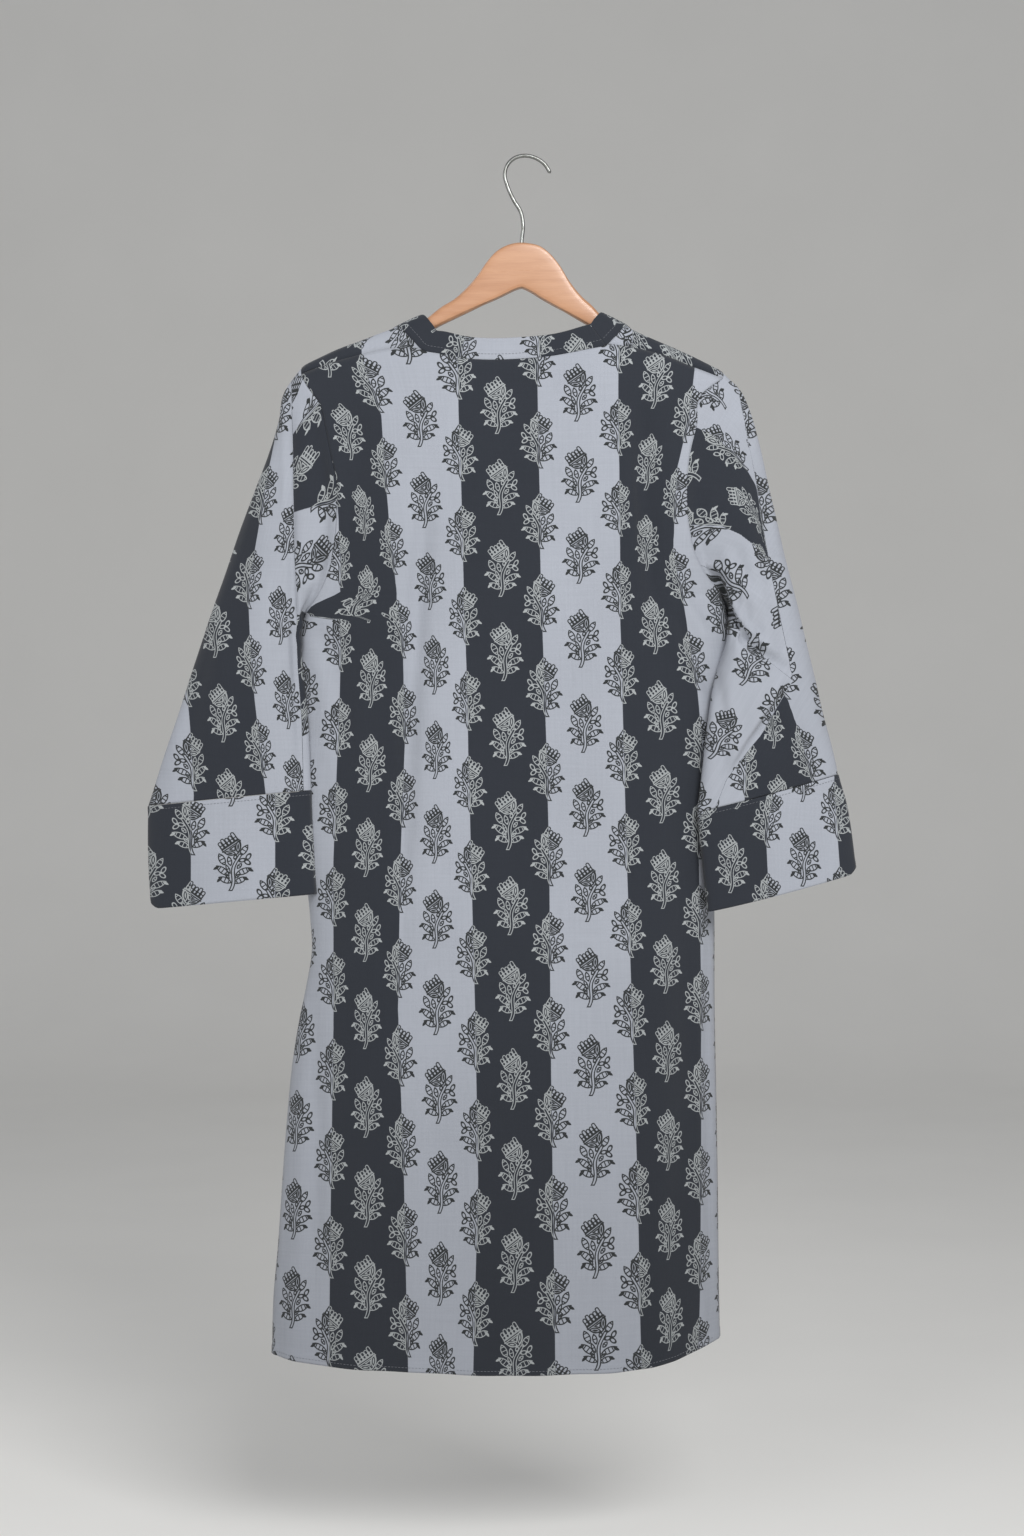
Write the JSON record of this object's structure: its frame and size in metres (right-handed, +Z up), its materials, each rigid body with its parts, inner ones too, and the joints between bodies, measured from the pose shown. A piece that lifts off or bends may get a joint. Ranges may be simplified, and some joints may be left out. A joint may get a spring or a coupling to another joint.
{
  "type": "kurta tunic on a wooden hanger",
  "caption": "Straight block-printed kurta tunic with banded three-quarter sleeves, hanging on a varnished wooden hanger by its steel hook.",
  "frame": {"origin": "top of the inside of the hook, where a rail carries it", "axes": "+Z up, +Y out of the tunic's front, +X to the right as seen from the back"},
  "size_m": [0.686, 0.1015, 1.1719],
  "materials": {
    "cloth": "matte plain-weave cotton with charcoal and pale grey-blue printed stripes",
    "wood": "clear gloss varnish",
    "steel": "polished"
  },
  "bodies": {
    "root": {"back_panel": "cloth", "front_panel": "cloth", "sleeve_left": "cloth", "sleeve_right": "cloth", "cuff_left": "cloth", "cuff_right": "cloth", "neck_band": "cloth", "hanger_body": "wood", "hook": "steel"}
  },
  "joints": []
}
